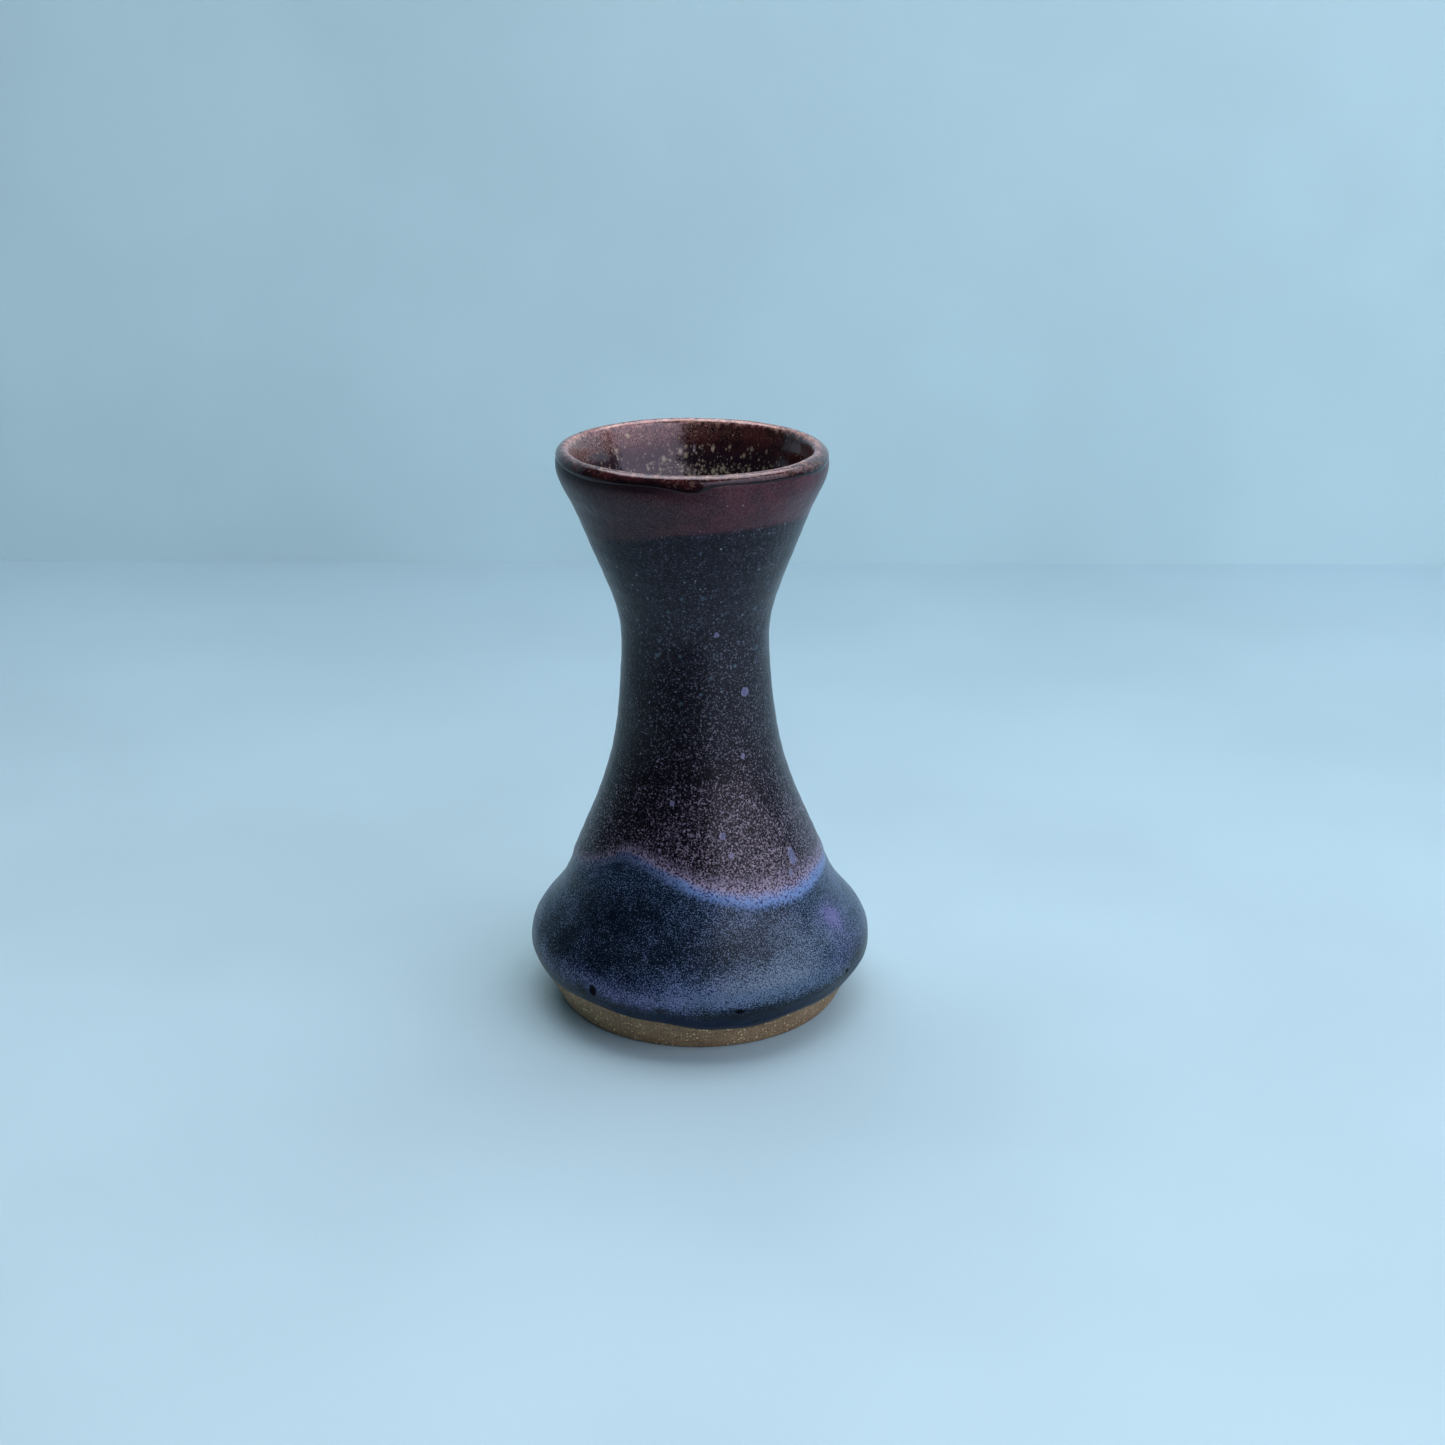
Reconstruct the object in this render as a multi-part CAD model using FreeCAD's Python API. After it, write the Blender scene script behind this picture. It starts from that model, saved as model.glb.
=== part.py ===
import FreeCAD, Part
import math
import os

# Ceramic bud vase, in millimetres. The axis of the vase is Z, it stands on Z = 0, and its front
# is towards -Y. It is one thrown clay body with six areas of glaze fused onto it. Every coat is a
# closed solid that shares its faces with the clay and with the coats above and below it.

# Size of the whole vase
HEIGHT = 115.0          # foot to the top of the lip
FOOT_RADIUS = 28.0      # bare clay where the vase meets the table
BELLY_RADIUS = 35.06    # widest point, glazed
BELLY_HEIGHT = 13.0     # height of the widest point
WAIST_RADIUS = 14.62    # narrowest point of the neck, glazed
RIM_RADIUS = 26.3       # widest point just under the lip, glazed

# Glaze, floor and inside
COAT = 0.6              # thickness of the glaze
FLOOR_HEIGHT = 7.0      # glazed floor of the water well above the table
THROAT_RADIUS = 10.4    # glazed bore at the narrowest place, where a stem is held
THROAT_LOW = 72.0       # the throat is straight from here
THROAT_HIGH = 80.0      # to here
WELL_RADIUS = 28.4      # widest place of the glazed water well
WELL_CORNER = 5.0       # radius where the wall of the well meets its floor

# Foot
FOOT_BEVEL = 0.6        # bevel that keeps the clay edge from chipping
RECESS_RADIUS = 21.0    # shallow trimmed hollow under the foot
RECESS_DEPTH = 1.2

# Glazed surface from the foot up the outside, over the rolled lip and down the mouth to the
# throat, as (radius, height)
OUTLINE = [
    (FOOT_RADIUS + COAT, 0.0),
    (31.9, 6.0),
    (34.5, 10.0),
    (BELLY_RADIUS, BELLY_HEIGHT),
    (34.26, 16.0),
    (31.4, 20.0),
    (28.4, 24.0),
    (25.74, 30.0),
    (20.7, 42.0),
    (16.94, 54.0),
    (15.23, 66.0),
    (WAIST_RADIUS, 76.0),
    (15.11, 82.0),
    (17.65, 90.0),
    (20.78, 98.0),
    (24.12, 106.0),
    (RIM_RADIUS, 111.5),
    (26.15, 113.4),
    (25.5, 114.6),
    (24.55, HEIGHT),
    (23.65, 114.6),
    (23.0, 113.4),
    (21.7, 110.0),
    (19.7, 105.0),
    (16.6, 97.5),
    (13.1, 89.0),
    (THROAT_RADIUS, THROAT_HIGH),
]

# Glazed surface below the throat, down to the corner of the well
WELL = [
    (THROAT_RADIUS, THROAT_LOW),
    (12.0, 59.0),
    (15.2, 46.0),
    (21.2, 31.0),
    (26.6, 20.0),
    (WELL_RADIUS, FLOOR_HEIGHT + WELL_CORNER),
]

# Lower edge of the plum glaze where it ran down over the blue one: its height every 30 degrees,
# from the back of the vase round by its left side to the front and on by its right side
RUN_HEIGHTS = [33.8, 30.5, 28.6, 29.0, 32.1, 35.8, 31.4, 28.0, 28.2, 29.4, 31.5, 34.2]
OVERLAP_DEPTH = 3.2     # height of the band where the two glazes mixed

# The collar was dipped at a slant, so its edge is level with a tilted plane
COLLAR_HEIGHT = 99.0
COLLAR_SWING = 5.2
COLLAR_HIGH_ANGLE = 30.0

# Bare clay shows below this slightly uneven line
FOOT_LINE_HEIGHT = 7.2
FOOT_LINE_SWING = 0.55
FOOT_LINE_RIPPLE = 1.4

# The lip glaze ends outside just under the roll, with one short run at the front
LIP_LINE_HEIGHT = 113.1
LIP_LINE_RIPPLE = 0.25
LIP_RUN_DEPTH = 0.6
LIP_RUN_WIDTH = 10.0    # degrees

# The ring that carries a glaze edge passes through this many points, from inside the throat to
# outside the belly, and the space above it reaches this far up
RING_POINTS = 48
RING_INNER = 8.0
RING_OUTER = 60.0
RING_REACH = 150.0

TOLERANCE = 1e-6        # how close a point has to be to count as inside a solid

DOWN = FreeCAD.Vector(0, 0, -1)


def point(radius, height):
    return FreeCAD.Vector(radius, 0.0, height)


def line(start, end):
    return Part.LineSegment(point(*start), point(*end)).toShape()


def skin_curve():
    """The outside, lip and mouth as one smooth curve, straight down where the throat starts."""
    places = [point(*place) for place in OUTLINE]
    curve = Part.BSplineCurve()
    curve.interpolate(Points=places, InitialTangent=places[1] - places[0], FinalTangent=DOWN)
    return curve


def well_curve():
    """The wall of the water well, straight down at both ends."""
    curve = Part.BSplineCurve()
    curve.interpolate(
        Points=[point(*place) for place in WELL], InitialTangent=DOWN, FinalTangent=DOWN
    )
    return curve


def sunk(curve, outline, depth):
    """The curve moved into the clay by depth, square to itself at each point of its outline."""
    places = []
    tangents = []
    for place in outline:
        tangent = curve.tangent(curve.parameter(point(*place)))[0]
        into_clay = FreeCAD.Vector(-tangent.z, 0.0, tangent.x)
        places.append(point(*place) + into_clay * depth)
        tangents.append(tangent)
    moved = Part.BSplineCurve()
    moved.interpolate(Points=places, InitialTangent=tangents[0], FinalTangent=tangents[-1])
    return moved


def corner(depth):
    """The rounded corner between the wall and the floor of the well, sunk by depth."""
    centre_radius = WELL_RADIUS - WELL_CORNER
    centre_height = FLOOR_HEIGHT + WELL_CORNER
    reach = WELL_CORNER + depth
    slant = reach * math.sqrt(0.5)
    return Part.Arc(
        point(centre_radius + reach, centre_height),
        point(centre_radius + slant, centre_height - slant),
        point(centre_radius, centre_height - reach),
    ).toShape()


def inside_edges(depth):
    """Edges from the top of the throat to the floor at the axis, sunk into the clay by depth."""
    throat = THROAT_RADIUS + depth
    floor = FLOOR_HEIGHT - depth
    return [
        line((throat, THROAT_HIGH), (throat, THROAT_LOW)),
        sunk(well_curve(), WELL, depth).toShape(),
        corner(depth),
        line((WELL_RADIUS - WELL_CORNER, floor), (0.0, floor)),
    ]


def revolved(edges):
    face = Part.Face(Part.Wire(edges))
    return face.revolve(FreeCAD.Vector(0, 0, 0), FreeCAD.Vector(0, 0, 1), 360)


def glazed_form():
    """The whole vase as if glaze covered it from the floor of the well down to the table."""
    edges = [
        line((0.0, 0.0), OUTLINE[0]),
        skin_curve().toShape(),
        *inside_edges(0.0),
        line((0.0, FLOOR_HEIGHT), (0.0, 0.0)),
    ]
    return revolved(edges)


def clay_form():
    """The fired clay under the glaze, before its foot is trimmed."""
    skin = sunk(skin_curve(), OUTLINE, COAT)
    foot = (skin.StartPoint.x, skin.StartPoint.z)
    table = (foot[0], 0.0)
    edges = [
        line((0.0, 0.0), table),
        line(table, foot),
        skin.toShape(),
        *inside_edges(COAT),
        line((0.0, FLOOR_HEIGHT - COAT), (0.0, 0.0)),
    ]
    return revolved(edges)


def trimmed(clay):
    """The clay with its foot bevelled and a shallow hollow, with a sloping wall, under it."""
    edge_radius = FOOT_RADIUS - FOOT_BEVEL
    outer_radius = BELLY_RADIUS
    bevel_top = outer_radius - edge_radius
    waste = revolved([
        line((edge_radius, 0.0), (outer_radius, bevel_top)),
        line((outer_radius, bevel_top), (outer_radius, 0.0)),
        line((outer_radius, 0.0), (edge_radius, 0.0)),
    ])
    hollow = Part.makeCone(RECESS_RADIUS, RECESS_RADIUS - RECESS_DEPTH, RECESS_DEPTH)
    return clay.cut(waste).cut(hollow)


def run_height(step):
    """Height of the run's lower edge at a point of the ring, smoothly between the listed ones."""
    count = len(RUN_HEIGHTS)
    place = step * count / RING_POINTS
    before = int(place)
    part = place - before
    h0, h1, h2, h3 = [RUN_HEIGHTS[(before + k) % count] for k in (-1, 0, 1, 2)]
    slope_1 = (h2 - h0) / 2.0
    slope_2 = (h3 - h1) / 2.0
    cubic = 2.0 * (h1 - h2) + slope_1 + slope_2
    square = 3.0 * (h2 - h1) - 2.0 * slope_1 - slope_2
    return ((cubic * part + square) * part + slope_1) * part + h1


def degrees_from_front(step):
    return step * 360.0 / RING_POINTS - 180.0


def overlap_height(step):
    return run_height(step) + OVERLAP_DEPTH


def collar_height(step):
    angle = math.radians(degrees_from_front(step) - COLLAR_HIGH_ANGLE)
    return COLLAR_HEIGHT + COLLAR_SWING * math.cos(angle)


def foot_line_height(step):
    angle = math.radians(degrees_from_front(step))
    swing = FOOT_LINE_SWING * math.cos(angle - math.radians(141.0))
    ripple = FOOT_LINE_RIPPLE * math.cos(2.0 * angle + math.radians(143.0))
    return FOOT_LINE_HEIGHT + swing + ripple


def lip_line_height(step):
    degrees = degrees_from_front(step)
    ripple = LIP_LINE_RIPPLE * math.cos(math.radians(2.0 * degrees - 80.0))
    run = LIP_RUN_DEPTH * math.exp(-((degrees / LIP_RUN_WIDTH) ** 2))
    return LIP_LINE_HEIGHT + ripple - run


def ring(radius, height_at):
    """A closed smooth curve round the axis, whose height changes with the angle."""
    places = []
    for step in range(RING_POINTS):
        angle = math.radians(degrees_from_front(step))
        x = radius * math.sin(angle)
        y = -radius * math.cos(angle)
        places.append(FreeCAD.Vector(x, y, height_at(step)))
    curve = Part.BSplineCurve()
    curve.interpolate(Points=places, PeriodicFlag=True)
    return curve.toShape()


def above(height_at):
    """The space above a glaze edge, as a thick-walled ring round the vase."""
    sheet = Part.makeRuledSurface(ring(RING_INNER, height_at), ring(RING_OUTER, height_at))
    return sheet.extrude(FreeCAD.Vector(0, 0, RING_REACH))


def split(coat, height_at):
    """The coat above a glaze edge, and the coat below it."""
    space = above(height_at)
    return coat.common(space), coat.cut(space)


def solid_at(shape, radius, height):
    """The solid of the shape that holds a point."""
    place = point(radius, height)
    return next(solid for solid in shape.Solids if solid.isInside(place, TOLERANCE, True))


def glaze_coats(clay):
    """Every coat by name, cut from one skin that covers the clay inside and out."""
    skin = glazed_form().cut(clay)
    lip, rest = split(skin, lip_line_height)
    liner = solid_at(rest, THROAT_RADIUS + COAT / 2.0, THROAT_LOW)
    outside = solid_at(rest, BELLY_RADIUS - COAT / 2.0, BELLY_HEIGHT)
    collar, outside = split(outside, collar_height)
    neck, outside = split(outside, overlap_height)
    overlap, outside = split(outside, run_height)
    skirt = outside.common(above(foot_line_height))
    return {
        "lip_glaze": lip,
        "liner_glaze": liner,
        "collar_glaze": collar,
        "neck_glaze": neck,
        "overlap_glaze": overlap,
        "skirt_glaze": skirt,
    }


def save(name, shape):
    solids = shape.Solids
    if len(solids) != 1 or not solids[0].isValid():
        raise ValueError(name + " is not one closed solid")
    solids[0].exportStep(os.path.join("parts", name + ".step"))


def main():
    os.makedirs("parts", exist_ok=True)
    clay = clay_form()
    save("clay_body", trimmed(clay))
    for name, coat in glaze_coats(clay).items():
        save(name, coat)


main()
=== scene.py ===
import math

import bpy
import numpy as np
from mathutils import Matrix, Vector


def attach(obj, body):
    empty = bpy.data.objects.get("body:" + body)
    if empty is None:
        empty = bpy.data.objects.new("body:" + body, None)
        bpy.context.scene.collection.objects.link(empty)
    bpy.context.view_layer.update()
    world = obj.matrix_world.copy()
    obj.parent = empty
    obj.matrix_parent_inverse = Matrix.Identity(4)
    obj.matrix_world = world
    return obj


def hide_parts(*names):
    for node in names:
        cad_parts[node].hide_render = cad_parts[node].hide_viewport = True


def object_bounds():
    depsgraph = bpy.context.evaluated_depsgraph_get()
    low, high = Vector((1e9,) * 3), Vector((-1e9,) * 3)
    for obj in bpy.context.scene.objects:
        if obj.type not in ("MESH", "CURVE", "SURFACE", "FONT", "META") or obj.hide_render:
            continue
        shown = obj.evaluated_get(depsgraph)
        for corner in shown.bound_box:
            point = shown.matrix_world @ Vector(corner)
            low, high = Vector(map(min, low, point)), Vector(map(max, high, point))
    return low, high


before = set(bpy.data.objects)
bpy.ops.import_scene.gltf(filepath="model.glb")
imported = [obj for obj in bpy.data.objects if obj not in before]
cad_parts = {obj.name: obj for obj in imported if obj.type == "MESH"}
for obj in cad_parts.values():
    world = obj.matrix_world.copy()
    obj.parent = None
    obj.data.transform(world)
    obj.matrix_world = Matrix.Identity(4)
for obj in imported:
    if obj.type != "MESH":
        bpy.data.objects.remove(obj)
cad_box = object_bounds()

# ---------------------------------------------------------------------------------------------
# Size. The vase is drawn in millimetres and scaled to the height of the CAD model. Angles are in
# degrees round the axis: 0 is the front (-Y), 90 the right-hand side (+X), 180 the back.
# ---------------------------------------------------------------------------------------------
DRAWN_HEIGHT = 115.0
MM = (cad_box[1][2] - cad_box[0][2]) / DRAWN_HEIGHT
BELLY_RADIUS = (cad_box[1][0] - cad_box[0][0]) / 2.0 / MM

COAT = 0.6              # thickness of the glaze
WIPED = 0.25            # how far the bare clay lies inside the glaze where the foot was wiped
LEAN = -0.0145          # the neck leans a little to the left, in millimetres for each one up
FOOT_SHIFT = -0.4       # the foot sits a little to the left of the belly
LIP_INSIDE_REACH = 4.2  # the lip glaze ends this far inside the crest, along the skin
COLUMNS = 576           # points round the vase

# Glazed surface from the foot up the outside, over the lip, down the mouth and the throat, and
# along the wall of the water well to the middle of its floor, as (radius, height)
OUTLINE = [
    (29.2, 0.0), (30.6, 2.9), (32.4, 6.1), (34.45, 9.8), (BELLY_RADIUS, 13.0), (34.26, 16.0),
    (31.4, 20.0), (28.4, 24.0), (25.74, 30.0), (20.7, 42.0), (16.94, 54.0), (15.23, 66.0),
    (14.62, 76.0), (15.11, 82.0), (17.65, 90.0), (20.78, 98.0), (24.12, 106.0), (26.3, 111.5),
    (26.15, 113.4), (25.5, 114.6), (24.55, DRAWN_HEIGHT), (23.65, 114.6), (23.0, 113.4),
    (21.7, 110.0), (19.7, 105.0), (16.6, 97.5), (13.1, 89.0), (10.6, 80.5), (10.4, 74.0),
    (12.0, 59.0), (15.2, 46.0), (21.2, 31.0), (26.6, 20.0), (28.3, 12.5), (27.2, 8.9),
    (23.6, 7.05), (16.0, 7.0), (8.0, 7.0), (0.6, 7.0),
]

# Underside of the clay, from the axis out to the foot, as (radius, height)
UNDERSIDE = [(0.6, 1.2), (10.0, 1.2), (19.6, 1.2), (20.6, 0.6), (21.2, 0.08), (22.0, 0.0),
             (27.8, 0.0), (28.6, 0.1), (29.0, 0.45)]

# Edges of the glazes round the vase, as (angle, height). Between the points they run smoothly.
RUN_EDGE = [
    (-165, 30.4), (-140, 28.6), (-115, 28.3), (-92, 29.0), (-71, 30.4), (-57, 32.5), (-47, 34.5),
    (-39, 36.0), (-30, 35.9), (-19, 34.4), (-11, 33.3), (0, 31.2), (8, 30.1), (17, 29.0),
    (27, 28.2), (40, 27.8), (55, 28.0), (66, 28.6), (85, 29.2), (105, 30.2), (125, 32.0),
    (143, 34.0), (160, 34.3), (178, 32.3),
]
RUN_DEPTH = [  # how far up the mixed band of the two glazes reaches from that edge
    (-150, 3.0), (-100, 2.4), (-60, 2.4), (-30, 2.8), (0, 3.6), (20, 4.4), (50, 4.4), (80, 3.6),
    (120, 2.6), (160, 2.6),
]
FOOT_EDGE = [
    (-160, 6.3), (-130, 7.2), (-105, 9.0), (-85, 10.2), (-72, 9.8), (-64, 8.9), (-58, 8.5),
    (-50, 8.5), (-43, 8.6), (-37, 8.5), (-29, 7.9), (-20, 7.4), (-13, 7.3), (-7, 6.7), (2, 5.7),
    (11, 5.5), (17, 5.2), (22, 5.3), (28, 5.95), (35, 6.75), (46, 6.85), (52, 7.0), (58, 7.5),
    (63, 8.7), (75, 9.6), (90, 9.6), (110, 8.4), (135, 7.0), (165, 6.5),
]
LIP_EDGE = [
    (-160, 112.9), (-110, 113.2), (-71, 113.3), (-50, 112.8), (-38, 112.8), (-24, 113.1),
    (-12, 113.0), (-4, 112.4), (4, 112.3), (9, 113.1), (20, 113.4), (36, 113.2), (50, 113.0),
    (62, 112.6), (75, 112.8), (110, 113.1), (150, 112.7), (178, 113.2),
]
COLLAR_HEIGHT = 99.0    # the collar was dipped at a slant: its edge swings this much about
COLLAR_SWING = 5.2      # this height, and is highest at this angle
COLLAR_HIGH_ANGLE = 30.0


# ---------------------------------------------------------------------------------------------
# Curves
# ---------------------------------------------------------------------------------------------
def smooth_line(points, count):
    """count points of the natural cubic spline through the given ones."""
    knots = np.array(points, float)
    steps = np.linalg.norm(np.diff(knots, axis=0), axis=1)
    place = np.concatenate([[0.0], np.cumsum(steps)])
    last = len(knots) - 1
    system = np.eye(last + 1)
    pull = np.zeros_like(knots)
    for i in range(1, last):
        system[i, i - 1:i + 2] = steps[i - 1], 2.0 * (steps[i - 1] + steps[i]), steps[i]
        after = (knots[i + 1] - knots[i]) / steps[i]
        before = (knots[i] - knots[i - 1]) / steps[i - 1]
        pull[i] = 6.0 * (after - before)
    bend = np.linalg.solve(system, pull)
    at = np.linspace(0.0, place[-1], count)
    i = np.clip(np.searchsorted(place, at, side="right") - 1, 0, last - 1)
    h = steps[i][:, None]
    a = (place[i + 1] - at)[:, None] / h
    b = 1.0 - a
    curve = a * knots[i] + b * knots[i + 1]
    return curve + ((a ** 3 - a) * bend[i] + (b ** 3 - b) * bend[i + 1]) * h * h / 6.0


def around(points, angles):
    """The value at each angle of a smooth closed line through (angle, value) points."""
    turns = [(angle + 360.0 * turn, value) for turn in (-1, 0, 1) for angle, value in points]
    line = smooth_line(turns, 8000)
    return np.interp(angles, line[:, 0], line[:, 1])


class Profile:
    """A line in the (radius, height) plane, read by its length along the line."""

    def __init__(self, points):
        dense = smooth_line(points, 24000)
        steps = np.linalg.norm(np.diff(dense, axis=0), axis=1)
        self.length = np.concatenate([[0.0], np.cumsum(steps)])
        self.radius = dense[:, 0]
        self.height = dense[:, 1]
        along = np.gradient(dense, self.length, axis=0)
        self.out_radius = along[:, 1]
        self.out_height = -along[:, 0]
        self.top = int(np.argmax(self.height))

    def at(self, place):
        """Radius, height and outward direction at a length along the line."""
        parts = (self.radius, self.height, self.out_radius, self.out_height)
        return [np.interp(place, self.length, part) for part in parts]

    def place_of_height(self, height):
        """Length along the outside of the vase at which it reaches a height."""
        return np.interp(height, self.height[:self.top], self.length[:self.top])


skin = Profile(OUTLINE)
turn = np.linspace(-180.0, 180.0, COLUMNS, endpoint=False)
foot_place = skin.place_of_height(around(FOOT_EDGE, turn))
run_height = around(RUN_EDGE, turn)
run_depth = around(RUN_DEPTH, turn)
run_place = skin.place_of_height(run_height)
band_place = skin.place_of_height(run_height + run_depth)
collar_height = COLLAR_HEIGHT + COLLAR_SWING * np.cos(np.radians(turn - COLLAR_HIGH_ANGLE))
collar_place = skin.place_of_height(collar_height)
lip_place = skin.place_of_height(around(LIP_EDGE, turn))
crest_place = skin.length[skin.top]
inner_lip_place = crest_place + LIP_INSIDE_REACH + 0.5 * np.sin(np.radians(3.0 * turn + 40.0))
floor_place = np.full(COLUMNS, skin.length[-1])


# ---------------------------------------------------------------------------------------------
# Relief of the glazed surface
# ---------------------------------------------------------------------------------------------
def undulation(seed, angle, place, waves, coarsest, finest):
    """Soft irregular swell between about -1 and 1 that closes on itself round the vase.

    Its waves are between the coarsest and the finest length, in millimetres."""
    draw = np.random.default_rng(seed)
    total = np.zeros(np.broadcast(angle, place).shape)
    for _ in range(waves):
        length = coarsest * (finest / coarsest) ** draw.random()
        heading = draw.random() * 2.0 * math.pi
        turns = round(2.0 * math.pi * 25.0 / length * math.cos(heading))
        rise = 2.0 * math.pi / length * math.sin(heading)
        phase = draw.random() * 2.0 * math.pi
        total += np.cos(np.radians(angle) * turns + place * rise + phase)
    return total / math.sqrt(waves * 2.0)


def soft_step(value, low, high):
    """Goes smoothly from 0 to 1 as value goes from low to high."""
    part = np.clip((value - low) / (high - low), 0.0, 1.0)
    return part * part * (3.0 - 2.0 * part)


# Marks in the glaze: (angle, height, half width, half height), in degrees and millimetres
BLUE_SPOTS = [
    (39.8, 68.9, 0.8, 0.8), (33.8, 56.4, 0.42, 0.46), (14.0, 42.0, 0.62, 0.66),
    (17.5, 38.3, 0.5, 0.5), (52.4, 35.2, 0.95, 1.75), (48.2, 32.6, 0.5, 0.6),
    (-14.5, 48.0, 0.4, 0.4), (16.8, 81.5, 0.45, 0.4),
]
DARK_PITS = [(-36.5, 12.4, 0.85, 1.15), (13.2, 10.9, 0.9, 0.45), (58.0, 12.0, 0.5, 0.4)]
HIDDEN_SPOTS = 9        # more of the same on the sides and back
HIDDEN_PITS = 5
HIDDEN_ANGLES = (95, 265)
FARTHEST_MARK = 2.0     # a mark further off than this has no say


def scattered_marks():
    """The marks of the front, with more of each kind scattered over the sides and back."""
    draw = np.random.default_rng(31)
    spots = list(BLUE_SPOTS)
    pits = list(DARK_PITS)
    for _ in range(HIDDEN_SPOTS):
        half_width = draw.uniform(0.35, 0.75)
        angle, height = draw.uniform(*HIDDEN_ANGLES), draw.uniform(34, 90)
        spots.append((angle, height, half_width, half_width * draw.uniform(0.9, 1.6)))
    for _ in range(HIDDEN_PITS):
        half_width = draw.uniform(0.35, 0.8)
        angle, height = draw.uniform(*HIDDEN_ANGLES), draw.uniform(9, 24)
        pits.append((angle, height, half_width, half_width * draw.uniform(0.6, 1.2)))
    return spots, pits


def distance_to_marks(marks, angle, place):
    """Millimetres to the edge of the nearest mark, negative inside it."""
    nearest = np.full(np.broadcast(angle, place).shape, FARTHEST_MARK)
    for mark_angle, mark_height, half_width, half_height in marks:
        mark_place = skin.place_of_height(mark_height)
        radius = skin.at(mark_place)[0]
        across = np.radians((angle - mark_angle + 180.0) % 360.0 - 180.0) * radius
        up = place - mark_place
        size = math.sqrt(half_width * half_height)
        distance = (np.hypot(across / half_width, up / half_height) - 1.0) * size
        nearest = np.minimum(nearest, distance)
    return nearest


spots, pits = scattered_marks()

# Relief of the glaze, in millimetres
EDGE_SWELL = 1.1        # the coat has its full thickness this far above the bare clay
GATHERED = 0.12         # extra thickness of the line where the glaze ran down and gathered
RING_OUTSIDE = 0.016    # depth of the turning marks outside
RING_INSIDE = 0.06      # and inside, where nobody smoothed them
RING_PITCH = 3.9        # distance from one turning mark to the next
SLOW_RING_PITCH = 6.7
UNEVEN = 0.05           # soft unevenness of the whole surface
DIMPLED = 0.016         # and the finer unevenness on it
PLUM_STEP = 0.1         # the plum coat stands this far above the blue one
PLUM_EDGE = 0.07        # and is this much thicker along its edge
LIP_ROLL = 0.2          # how far the lip glaze hangs over the collar
CRATER = 0.05           # depth of a spot's crater and height of its rim
PIT_DEPTH = 0.22


def glaze_relief(angle, place):
    """Millimetres that the glaze stands above the drawn skin at each point."""
    outside = 1.0 - soft_step(place, crest_place - 2.0, crest_place + 2.0)
    above_foot = place - foot_place
    above_run = place - run_place
    above_lip = place - lip_place
    # the coat swells from its wiped edge over its first millimetre above the bare clay
    edge = np.clip(above_foot / EDGE_SWELL, 0.0, 1.0)
    relief = WIPED * (np.sqrt(1.0 - (1.0 - edge) ** 2) - 1.0)
    # a thick line just above that, where the glaze gathered
    relief += GATHERED * np.exp(-((above_foot - 1.6) / 1.0) ** 2)
    # turning marks and the glaze's own unevenness
    spiral = place + np.radians(angle) * 0.55
    rings = np.sin(spiral * 2.0 * math.pi / RING_PITCH)
    rings += 0.6 * np.sin(spiral * 2.0 * math.pi / SLOW_RING_PITCH + 1.0)
    relief += rings * (RING_OUTSIDE * outside + RING_INSIDE * (1.0 - outside))
    relief += UNEVEN * undulation(5, angle, place, waves=26, coarsest=26.0, finest=9.0)
    dimples = undulation(6, angle, place, waves=40, coarsest=4.0, finest=1.8)
    relief += DIMPLED * dimples * soft_step(above_foot, 0.3, 2.0)
    # the plum coat lies on the blue one, with a soft rounded edge
    relief += PLUM_STEP * soft_step(above_run, -0.3, 1.2) * outside
    relief += PLUM_EDGE * np.exp(-((above_run - 1.3) / 1.0) ** 2)
    # the lip glaze hangs over the collar in a rounded roll
    relief += LIP_ROLL * np.sqrt(np.clip(above_lip / 0.7, 0.0, 1.0)) * outside
    # spots stand in a shallow crater with a raised rim, and pits are holes in the glaze
    spot = distance_to_marks(spots, angle, place)
    relief += CRATER * np.exp(-(spot / 0.16) ** 2) - CRATER * soft_step(-spot, 0.0, 0.3)
    pit = distance_to_marks(pits, angle, place)
    relief -= PIT_DEPTH * soft_step(-pit, -0.15, 0.5)
    return relief


# ---------------------------------------------------------------------------------------------
# Meshes
# ---------------------------------------------------------------------------------------------
FOOT_TOP = 12.0         # the foot's shift dies out up to this height


def leaning(radius, height, angle):
    """Points in metres of a ring on the vase, whose axis leans a little."""
    around_axis = np.radians(angle)
    shift = FOOT_SHIFT * (1.0 - soft_step(height, 2.0, FOOT_TOP))
    x = radius * np.sin(around_axis) + LEAN * height + shift
    y = -radius * np.cos(around_axis)
    z = np.broadcast_to(height, x.shape)
    return np.stack([x, y, z], axis=-1) * MM


def skin_points(place, relief):
    """Points on the drawn skin, raised by relief."""
    radius, height, out_radius, out_height = skin.at(place)
    return leaning(radius + out_radius * relief, height + out_height * relief, turn)


def rows_between(low, high, spacing):
    """Places in even rows from the line low to the line high, both kept exactly."""
    count = max(2, int(round(float(np.max(high - low)) / spacing)))
    share = np.linspace(0.0, 1.0, count + 1)[:, None]
    return low + (high - low) * share


SHARP_ANGLE = 50.0      # edges that bend more than this are drawn sharp


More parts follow.
